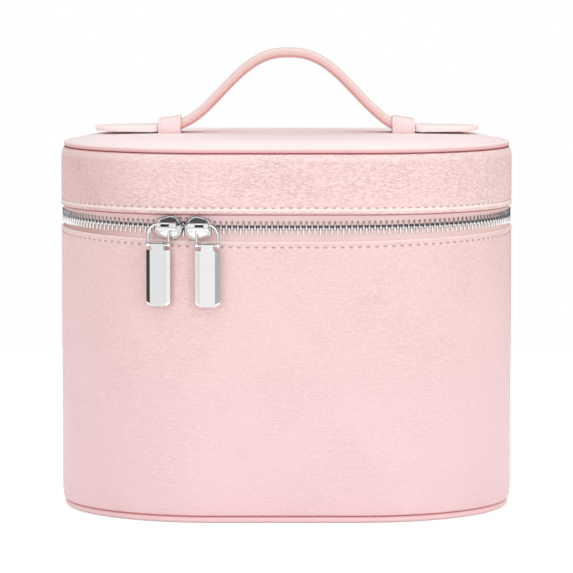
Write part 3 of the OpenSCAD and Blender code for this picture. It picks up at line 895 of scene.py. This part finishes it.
    edge = END_R - sizes("base_leather")[1][1]
    bottom = [(END_R, 0.05), (40, 0.02), (12, 0.0), (edge + 1.6, 0.0), (edge + 0.6, 0.12),
              (edge + 0.1, 0.5), (edge, 0.9), (edge + 0.1, 1.5), (edge + 0.2, 3.1),
              (edge + 1, 3.18), (30, 3.18), (END_R, 3.18)]
    dress(wall("bottom_panel", bottom, BASE_LEATHER), "case", "smooth_leather",
          "base_leather", "base_foam")
    dress(cord_round("foot_piping", 72.1, 1.6, 1.6, FOOT_PIPING), "case", "piping_leather",
          "base_piping")
    dress(cord_round("top_piping", 72.2, 176.9, 1.5, HEAD_PIPING), "lid", "piping_leather",
          "lid_piping")
    dress(lid_pad(), "lid", "pebbled_leather", "lid_top_leather", "lid_foam")
    dress(floor_pad(), "case", "lining_fabric", "base_lining")


# ---- zipper

def apart(distance):
    """How far the rows stand apart at a distance from where the sliders meet, 0 to 1."""
    near, far = SLIDER_S - 0.5, SLIDER_S + 4.13
    if distance < near:
        return 1.0
    if distance > far:
        return 0.0
    return (1 + math.cos(math.pi * (distance - near) / (far - near))) / 2


def on_chain(s, z):
    """A place on the chain and the turn that faces it out of the case."""
    (bx, by), (ox, oy) = around(s, CHAIN_R)
    x, y = bx + ox * CHAIN_R, by + oy * CHAIN_R
    return (x, y, CHAIN_Z + z + 0.5 * edge_rise(x, y)), math.atan2(ox, -oy)


def tooth_unit():
    """One tooth of the lower row, from its jaws on the tape up to its rounded head."""
    rows = []
    for z, hx, hy in [(-3.35, 0.28, 0.85), (-3.2, 0.36, 1.08), (-2.9, 0.4, 1.18),
                      (-1.3, 0.4, 1.18), (-0.85, 0.55, 1.2), (-0.1, 0.57, 1.2),
                      (0.68, 0.54, 1.17), (0.88, 0.42, 0.95)]:
        e = 0.2
        rows.append([(hx, -hy + e, z), (hx, hy - e, z), (hx - e, hy, z), (-hx + e, hy, z),
                     (-hx, hy - e, z), (-hx, -hy + e, z), (-hx + e, -hy, z), (hx - e, -hy, z)])
    return loft("tooth", rows, NICKEL, around=False, caps=True, sharp=60)


def build_zipper():
    """Both tapes, both rows of teeth and the strips that carry the lid at the back."""
    unit = tooth_unit()
    half = int((CHAIN_HALF - END_ROOM) // TOOTH_PITCH)
    for lower, name, body_name in [(True, "teeth_lower", "case"), (False, "teeth_upper", "lid")]:
        places = []
        for i in range(-half, half + lower):
            s = (i + (0.0 if lower else 0.5)) * TOOTH_PITCH
            drop = PARTED * apart(abs(s - MEET_S))
            place, turn = on_chain(s, -drop if lower else drop)
            places.append((place, (0.0 if lower else math.pi, 0.0, turn)))
        row = unit_row(name + "_row", places, unit, NICKEL, sway=0.012, seed=11)
        dress(row, body_name, "zipper_metal", name)
    bpy.data.objects.remove(unit)

    def lower_tape(s, edge=1.0):
        top = CHAIN_Z - edge - PARTED * apart(abs(s - MEET_S)) * 0.98
        return [(1.34, 128.1), (1.3, 128.6), (1.3, 133), (1.3, 135.5), (1.3, top - 0.9),
                (1.12, top - 0.6), (1.02, top - 0.2), (1.2, top), (2.1, top),
                (2.28, top - 0.2), (2.18, top - 0.6), (2.0, top - 0.9), (2.0, 135.5),
                (2.0, 133), (2.0, 128.6), (1.96, 128.1)]

    def upper_tape(s):
        return [(d, 2 * CHAIN_Z - z) for d, z in lower_tape(s, 1.2)]

    for name, section, finish, sewn, way, body_name in [
        ("tape_lower", lower_tape, LOWER_TAPE, 129, 1, "case"),
        ("tape_upper", upper_tape, UPPER_TAPE, 152, -1, "lid"),
    ]:
        tape = open_wall(name + "_cloth", section, finish, CHAIN_HALF - 0.05, CHAIN_R, 420)
        lifted(tape, lambda x, y, z: 0.5 * edge_rise(x, y) * clamp((z - sewn) * way / 8))
        dress(tape, body_name, "zipper_tape", name)

    for name, node, outer, inner, finish, slot in [
        ("hinge_strip", "hinge_leather", 1.25, 2.0, HINGE_LEATHER, "smooth_leather"),
        ("hinge_backing", "hinge_lining", 2.12, 2.7, LINING, "lining_fabric"),
    ]:
        (x0, _, z0), (x1, _, z1) = sizes(node)
        heights = [z0 + (z1 - z0) * k / 30 for k in range(31)]
        rows = []
        for x in [x0 + (x1 - x0) * k / 40 for k in range(41)]:
            front = [(x, END_R - outer + 0.08 * math.sin(math.pi * (z - z0) / (z1 - z0)), z)
                     for z in heights]
            rows.append(front + [(x, END_R - inner, z) for z in reversed(heights)])
        strip = loft(name, rows, finish, around=False, caps=True)
        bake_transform(strip)
        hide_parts(node)


# ---- stitches

def stitch_unit():
    """One stitch: it rises out of its hole, lies on the leather and sinks again."""
    turns = [2 * math.pi * (k + 0.5) / 7 for k in range(7)]
    rows = []
    for x, sink, size in [(-0.95, 0.4, 0.1), (-0.82, 0.2, 0.19), (-0.55, 0.05, 0.23),
                          (0.0, 0.0, 0.24), (0.55, 0.05, 0.23), (0.82, 0.2, 0.19),
                          (0.95, 0.4, 0.1)]:
        rows.append([(x, sink + size * 0.85 * math.cos(a), size * math.sin(a)) for a in turns])
    return loft("stitch", rows, THREAD, around=False, caps=True, sharp=60)


def seam_round(z, depth, inwards=False):
    """Places of the stitches of one seam all the way round."""
    places = []
    for k in range(STITCHES):
        s = -ROUND / 2 + (k + 0.5) * ROUND / STITCHES
        ox, oy = around(s)[1]
        turn = math.atan2(ox, -oy) + (math.pi if inwards else 0.0)
        places.append((section_row(s, [(depth, z)])[0], (0.0, 0.0, turn)))
    return places


def keeper_path():
    """The line over the strap that a keeper follows, as points in y and z."""
    half, foot, top, bend = 10.1, LID_TOP - 0.15, LID_TOP + 7.45, 2.6
    line = [(1.3 - half, foot), (0.35 - half, foot + 0.7), (-half, top - bend)]
    line += arc(bend - half, top - bend, bend, 2, -1, 8)[1:]
    for k in range(1, 8):
        y = -half + bend + (2 * half - 2 * bend) * k / 8
        line.append((y, top + 0.25 * math.sin(math.pi * k / 8)))
    return line + [(-y, z) for y, z in reversed(line[:11])]


def keeper_ways(a, b, here):
    """The way along a keeper's line between two of its points, and the way out there."""
    along = Vector((0, b[0] - a[0], b[1] - a[1])).normalized()
    out = Vector((1, 0, 0)).cross(along)
    return along, -out if out.dot(Vector((0, here[0], here[1] - LID_TOP - 2))) < 0 else out


def keeper_slant(x, z):
    """How far a keeper comes down towards the case's end, where the strap is thinner."""
    return 1.75 * clamp((abs(x) - 51.5) / 11) * clamp((z - LID_TOP - 1) / 6)


def build_stitches():
    """All the sewing: four rounds of stitches, and two short rows on each keeper."""
    unit = stitch_unit()
    outside = [((x, y, z + edge_rise(x, y)), turn)
               for (x, y, z), turn in seam_round(LOW_SEAM, 0.24)]
    case_rows = outside + seam_round(LOW_SEAM, 3.93, True)
    lid_rows = seam_round(HIGH_SEAM, 0.24) + seam_round(HIGH_SEAM, 3.93, True)
    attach(unit_row("wall_stitches", case_rows, unit, THREAD, sway=0.05, seed=5), "case")
    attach(unit_row("lid_stitches", lid_rows, unit, THREAD, sway=0.05, seed=7), "lid")

    line = keeper_path()
    run = lengths(line)
    keeper_rows = []
    count = int((run[-1] - 1.6) // 2.5)
    for side in (-1, 1):
        for edge in (-3.9, 3.9):
            for k in range(count):
                want = 1.0 + (k + 0.5) * (run[-1] - 2.0) / count
                j = max(i for i in range(len(run) - 1) if run[i] <= want)
                a, b = line[j], line[j + 1]
                share = (want - run[j]) / (run[j + 1] - run[j])
                y, z = (p + (q - p) * share for p, q in zip(a, b))
                along, out = keeper_ways(a, b, (y, z))
                axes = Matrix((along, -out, along.cross(-out))).transposed()
                x = side * KEEPER_X + edge
                place = Vector((x, y, z - keeper_slant(x, z))) + out * 0.52
                keeper_rows.append((tuple(place), tuple(axes.to_euler())))
    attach(unit_row("keeper_stitches", keeper_rows, unit, PALE_THREAD, sway=0.05, seed=9,
                     size=0.7), "lid")
    bpy.data.objects.remove(unit)


# ---- sliders, rings, pulls

def chain_axes(s, head):
    """Turns a slider's own (x towards its head, depth outwards, z up) into the case's frame."""
    (bx, by), (ox, oy) = around(s, CHAIN_R)
    tx, ty = -oy * head, ox * head
    z0 = CHAIN_Z + 0.5 * edge_rise(bx + ox * CHAIN_R, by + oy * CHAIN_R)

    def put(x, depth, z):
        out = CHAIN_R + depth
        return (bx + ox * out + tx * x, by + oy * out + ty * x, z0 + z)
    return put


def slider_plate(name, put, sign):
    """A plate with a round head, a narrower tail and a raised rim. The front one slopes back
    above its middle."""
    tail = eased([(-0.19, 5.657, 0), (-6.2, 3.9, 1.2), (-6.2, -3.4, 1.4), (-0.19, -5.657, 0)], 6)
    outline = arc(0.5, 0.0, 5.7, -97 / 90, 194 / 90, 36) + tail[1:-1]

    def face(z):
        if sign < 0:
            return 2.85
        upper = max(0.0, z - 1.0)
        lower = max(0.0, -z - 2.6)
        return 2.95 - 0.08 * min(upper, 1.0) ** 2 - 0.21 * max(0.0, upper - 0.6) - 0.10 * lower

    rows = []
    for share, sink in [(0.0, None), (0.55, None), (0.93, None), (1.0, 0.95), (1.0, 0.42),
                        (0.988, 0.18), (0.962, 0.04), (0.935, 0.0), (0.91, 0.06),
                        (0.888, 0.22), (0.87, 0.36), (0.84, 0.39), (0.79, 0.39), (0.7, 0.38),
                        (0.58, 0.35), (0.44, 0.3), (0.3, 0.26), (0.16, 0.24), (0.0, 0.24)]:
        row = []
        for x, z in outline:
            px, pz = 0.2 + (x - 0.2) * share, z * share
            sink_here = (sink or 0.0) * (1 - 0.14 * min(3.5, max(0.0, pz)))
            depth = 1.9 if sink is None else max(1.93, face(pz) - sink_here)
            row.append(put(px, sign * depth, pz))
        rows.append(row)
    return loft(name, rows, CHROME, around=False, sharp=60)


def crown_block(name, low, high, edge, finish, put):
    """A rounded block in a slider's own axes, in millimetres, moved to its place."""
    obj = block(name, low, high, edge, finish)
    for v in obj.data.vertices:
        v.co = Vector(put(v.co.x / MM, v.co.y / MM, v.co.z / MM)) * MM
    weld(obj.data)
    return obj


def slider(side, put):
    """One slider: two plates with a wedge between, lower lips, and the crown."""
    parts = [slider_plate("front", put, 1), slider_plate("back", put, -1)]
    wedge = [(5.4, 0.6), (5.4, -0.6), (3.5, -0.75), (1.65, -0.12), (1.65, 0.12), (3.5, 0.75)]
    rows = [[put(x, d, z) for x, z in wedge] for d in (-1.95, 1.95)]
    parts.append(loft("wedge", rows, CHROME, around=False, caps=True))
    lip = [(-6.0, -3.6), (0.4, -5.6), (0.4, -5.1), (-6.0, -3.2)]
    for d0, d1 in ((1.0, 2.0), (-2.0, -1.0)):
        rows = [[put(x, d, z) for x, z in lip] for d in (d0, d1)]
        parts.append(loft("lip", rows, CHROME, around=False, caps=True))
    for low, high, edge, finish in [
        ((-5.5, 5.55, -1.1), (4.5, 6.75, 0.7), 0.42, CHROME),
        ((-5.5, 5.55, 0.3), (-3.0, 6.7, 2.55), 0.42, CHROME),
        ((0.9, 5.55, 0.3), (4.5, 6.7, 2.55), 0.42, CHROME),
        ((-3.3, 5.55, 1.65), (1.2, 6.6, 2.5), 0.22, CHROME),
        # The slot: a dark block of painted shade in the crown's hollow.
        ((-3.3, 5.5, 0.5), (1.2, 5.81, 1.8), 0.1, SLOT_SHADOW),
        ((-5.48, 2.6, -0.68), (-4.12, 5.8, 0.78), 0.2, CHROME),
        ((3.12, 2.6, -0.68), (4.48, 5.8, 0.78), 0.2, CHROME),
    ]:
        parts.append(crown_block("crown", low, high, edge, finish, put))
    whole = joined("zipper_slider_" + side, parts)
    smooth(whole.data, 38)
    dress(whole, "slider_" + side, "bright_metal", "slider_" + side)


def ring(side, put):
    """A wire ring with a round top, straight legs, small corner knuckles and a bar."""
    mid, bend, foot = 5.1, 1.0, BAR_Z - RING_Z
    legs = [(foot + bend) * k / 6 for k in range(1, 6)]
    line = arc(0.0, 0.0, mid, 0, 2, 24) + [(-mid, z) for z in legs]
    line += arc(bend - mid, foot + bend, bend, 2, 1, 6)
    line += [(bend - mid + (2 * mid - 2 * bend) * k / 8, foot) for k in range(1, 8)]
    line += arc(mid - bend, foot + bend, bend, -1, 1, 6) + [(mid, z) for z in reversed(legs)]
    origin = Vector(put(RING_X, RING_Y, RING_Z))
    right = (Vector(put(RING_X + 1, RING_Y, RING_Z)) - origin).normalized()
    out = (Vector(put(RING_X, RING_Y + 1, RING_Z)) - origin).normalized()
    up = Vector((0, 0, 1))
    path = []
    for k, (x, z) in enumerate(line):
        way = (Vector(line[(k + 1) % len(line)]) - Vector(line[k - 1])).normalized()
        path.append((origin + right * x + up * z, right * way.y - up * way.x, out))
    parts = [swept("ring", path, arc(0.0, 0.0, 0.75, 0, 4, 14)[:-1], CHROME, closed=True,
                   sharp=80)]
    for x in (RING_X - mid, RING_X + mid):
        parts.append(crown_block("knuckle", (x - 0.95, RING_Y - 0.9, BAR_Z - 0.85),
                                 (x + 0.95, RING_Y + 0.9, BAR_Z + 1.2), 0.5, CHROME, put))
    whole = joined("pull_ring_" + side, parts)
    dress(whole, "ring_" + side, "bright_metal", "ring_" + side)


def pull(side, put):
    """A bar with bevelled sides and cut lower corners; its neck goes over the ring's bar."""
    top, bottom, foot = BAR_Z - 2.5, BAR_Z - 29.28, BAR_Z + 1.4

    def outline(half, bend, low, high, neck, rise):
        corners = [(-half, high, 0.15), (-half, low + bend, 0.9), (-half + bend, low, 0.9),
                   (half - bend, low, 0.9), (half, low + bend, 0.9),
                   (half, high, 0.15), (neck, high, 0.25), (neck, rise, 0.12),
                   (-neck, rise, 0.12), (-neck, high, 0.25)]
        return eased(corners, 4)

    rows = []
    for depth, half, bend, low, high, neck, rise in [
        (-1.4, 5.6, 1.5, bottom + 0.2, top - 0.2, 2.95, foot - 0.55),
        (-1.25, 5.8, 1.7, bottom + 0.03, top, 3.1, foot - 0.42),
        (0.0, 5.85, 1.7, bottom, top, 3.1, foot),
        (0.3, 5.85, 1.7, bottom, top, 3.1, foot - 0.03),
        (1.3, 3.92, 0.5, bottom + 0.04, top - 0.02, 3.1, foot - 0.7),
        (1.4, 3.8, 0.4, bottom + 0.14, top - 0.08, 3.0, foot - 1.0),
    ]:
        rows.append([put(RING_X + x, RING_Y + depth, z)
                     for x, z in outline(half, bend, low, high, neck, rise)])
    whole = loft("zipper_pull_" + side, rows, CHROME, around=False, caps=True, sharp=9)
    dress(whole, "pull_" + side, "bright_metal", "pull_" + side)


# ---- handle

def bell(x):
    if abs(x) >= ARCH_HALF:
        return 0.0
    return math.cos(math.radians(90 * (abs(x) / ARCH_HALF) ** 1.22)) ** 2


def arch_z(x):
    return LID_TOP + STRAP_TOP + ARCH_RISE * bell(x)


def build_handle():
    """The raised strap in two layers, its two flat ends and the keepers over it."""
    path = []
    for k in range(121):
        x = -KEEPER_X + 2 * KEEPER_X * k / 120
        slope = Vector((0.1, 0, arch_z(x + 0.05) - arch_z(x - 0.05))).normalized()
        up = Vector((-slope.z, 0, slope.x))
        off = soft_step(clamp((56 - abs(x)) / 12))
        path.append(((x + ARCH_LEAN * off, 0.0, arch_z(x)), (0, 1, 0), up))
    upper = eased([(-9, -3.35, 0.25), (9, -3.35, 0.25), (9, 0, 2.1), (-9, 0, 2.1)], 6)
    lower = eased([(-8.8, -4.5, 0.8), (8.8, -4.5, 0.8), (8.8, -3.3, 0.2),
                   (-8.8, -3.3, 0.2)], 5)
    up = lengths(upper + upper[:1])
    middle = (up[20] + up[21]) / 2
    # The strap's sides darken downwards and its underside layer is deep rose: partly their edge
    # paint and lining colour, partly painted shade on the strap's lower half.
    top_leather = smooth_leather("strap_finish", tone(242, 222, 217), tone(236, 208, 203),
                                 0.6, 0.03, 0.42,
                                 side_shade=(middle, middle - up[13] - 3.6, middle - up[13],
                                       tone(230, 188, 182)))
    lining = smooth_leather("strap_underside_finish", tone(214, 158, 158), tone(204, 144, 145),
                            0.5, 0.02, 0.4)
    strap = joined("handle_strap", [swept("upper", path, upper, top_leather, sharp=50),
                                    swept("lower", path, lower, lining, sharp=50)])
    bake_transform(strap)
    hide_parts("handle_arch", "handle_filler")

    base, half, neck = LID_TOP + 0.3, 13, 9
    tip = sizes("strap_end_right")[1][0]

    def tail_rise(x, y, z):
        out, high = clamp((abs(x) - 60) / (tip - 60)), clamp((z - base) / 2.9)
        return 0.5 * out * out * (1 - high * 0.6) + 0.65 * (1 - out) ** 2 * high

    for side, name in ((-1, "left"), (1, "right")):
        line = []
        for k in range(9):
            x = 57.1 + k * 0.8
            line.append((x, 0.0, -1.0, neck + (half - neck) * soft_step(clamp((x - 62.3) / 3))))
        line += [(65.6 + k * (tip - half - 65.6) / 8, 0.0, -1.0, half) for k in range(8)]
        line += [(tip - half, ox, oy, half) for ox, oy in arc(0.0, 0.0, 1.0, -1, 2, 32)]
        line += [(x, ox, -oy, reach) for x, ox, oy, reach in reversed(line[:17])]
        rows = []
        for share, inset, z in [(0.0, 0, 0.0), (0.6, 0, 0.0), (1.0, 1.1, 0.0), (1.0, 0.45, 0.15),
                                (1.0, 0.12, 0.5), (1.0, 0.05, 1.0), (1.0, 0.16, 1.3),
                                (1.0, 0.02, 1.55), (1.0, 0.1, 2.1), (1.0, 0.45, 2.6),
                                (1.0, 1.1, 2.85), (1.0, 2.2, 2.92), (0.55, 0, 3.05),
                                (0.0, 0, 3.1)]:
            rows.append([(side * (x + ox * (reach * share - inset)),
                          oy * (reach * share - inset), base + z) for x, ox, oy, reach in line])
        tail = loft("strap_tail_" + name, rows, TAIL_LEATHER, around=False, sharp=60)
        lifted(tail, tail_rise)
        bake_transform(tail)
        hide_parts("strap_end_" + name)

    section = eased([(-5.5, -0.6, 0.45), (5.5, -0.6, 0.45), (5.5, 0.6, 0.5), (-5.5, 0.6, 0.5)], 4)
    line = keeper_path()
    for side, name in ((-1, "left"), (1, "right")):
        path = []
        for k, (y, z) in enumerate(line):
            back, on = line[max(0, k - 1)], line[min(len(line) - 1, k + 1)]
            up = keeper_ways(back, on, (y, z))[1]
            path.append(((side * KEEPER_X, y, z), (1, 0, 0), up))
        loop = swept("keeper_loop_" + name, path, section, KEEPER_LEATHER, sharp=60)
        lifted(loop, lambda x, y, z: -keeper_slant(x, z))
        dress(loop, "lid", "smooth_leather", "keeper_" + name)


# ---- stage

def build_stage():
    """A pale floor, soft lamps, a white background and the photograph's view."""
    f = Finish("floor_finish")
    seen, glossy, through = f.rays("Camera", "Glossy", "Transmission")
    matte = f.add("BsdfDiffuse", None, {"Color": (0.86, 0.86, 0.86, 1.0)})
    glow = f.add("Emission", None, {"Color": (1.0, 1.0, 1.0, 1.0), "Strength": 0.45})
    both = f.add("AddShader", None, {0: matte, 1: glow})
    shown = f.add("MixShader", None, {0: (seen + glossy + through).at_most(1.0),
                                      1: matte, 2: both})
    f.add("OutputMaterial", None, {"Surface": shown}, out=None)
    rim = [(x, y, -0.2) for x, y in arc(0.0, 0.0, 750.0, 0, 4, 64)[:-1]]
    mesh = raw_mesh("floor", rim, (), [tuple(range(len(rim)))])
    mesh.materials.append(f.owner)
    floor = in_scene("floor", mesh)

    world = bpy.data.worlds.new("studio")
    bpy.context.scene.world = world
    f = Finish("studio", world)
    camera_ray, glossy_ray = f.rays("Camera", "Glossy")
    x, y, z = f.parts(f.place("Generated"))
    turn = f.add("Math", {"operation": "ARCTAN2"}, {0: x, 1: y * -1.0}) * (180 / math.pi)
    left_wall = turn.step(-72.0, -80.0) * (1 - turn.step(-112.0, -124.0))
    right_wall = turn.step(33.0, 40.0) * 0.5 + turn.step(60.0, 70.0) * 0.36
    behind = turn.size().step(112.0, 124.0) * z.step(0.12, 0.2)
    ceiling = z.step(0.17, 0.25) * (1 - z.step(0.84, 0.94))
    left_wall = left_wall * 0.94 + (1 - left_wall) * turn.step(-12.0, -30.0) * 0.1
    room = (1 - left_wall) * (1 - right_wall) * (1 - ceiling * 0.9) * (1 - behind * 0.7)
    soft = 0.6 + z.step(0.1, 0.9) * (0.13 + y.size().step(0.15, 0.6) * 0.6)
    glare = camera_ray + (1 - camera_ray) * (glossy_ray * room + (1 - glossy_ray) * soft)
    sky = f.add("Background", None, {"Color": (1.0, 1.0, 1.0, 1.0), "Strength": glare})
    f.add("OutputWorld", None, {"Surface": sky}, out=None)

    for name, place, aim, size, power in [
        ("left_box", (-1.05, -1.45, 0.35), (0.0, 0.0, 0.1), 0.5, 3.35),
        ("right_box", (1.25, -1.25, 0.4), (0.0, 0.0, 0.1), 0.6, 6.0),
        ("top_box", (0.05, -0.5, 1.5), (0.0, 0.0, 0.15), 1.6, 3.2),
        ("back_box", (0.0, 0.8, 1.3), (0.0, 0.0, 0.18), 1.4, 3.6),
    ]:
        lamp = bpy.data.lights.new(name, "AREA")
        lamp.shape = "SQUARE"
        lamp.size = size
        lamp.energy = power
        obj = in_scene(name, lamp)
        obj.visible_glossy = False
        obj.location = place
        obj.rotation_euler = (Vector(aim) - Vector(place)).to_track_quat("-Z", "Y").to_euler()

    camera = bpy.data.cameras.new("camera")
    camera.sensor_width = 36.0
    camera.lens = 264.0
    camera.clip_start = 0.1
    camera.clip_end = 30.0
    view = in_scene("camera", camera)
    view.location = (0.0, -2.052, 0.290)
    view.rotation_euler = (math.radians(90 - 5.118), 0.0, 0.0)
    bpy.context.scene.camera = view
    bpy.context.scene.view_settings.view_transform = "Standard"


# ---- putting it together

build_walls()
build_zipper()
build_stitches()
for hand, way in (("left", 1), ("right", -1)):
    axes = chain_axes(MEET_S - way * SLIDER_S, way)
    slider(hand, axes)
    ring(hand, axes)
    pull(hand, axes)
build_handle()
for node in ("body_board", "base_board", "lid_band_board", "lid_top_board"):
    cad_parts[node].material_slots[0].material = BOARD
for node in ("stops_lower", "stops_upper"):
    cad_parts[node].material_slots[0].material = NICKEL
build_stage()
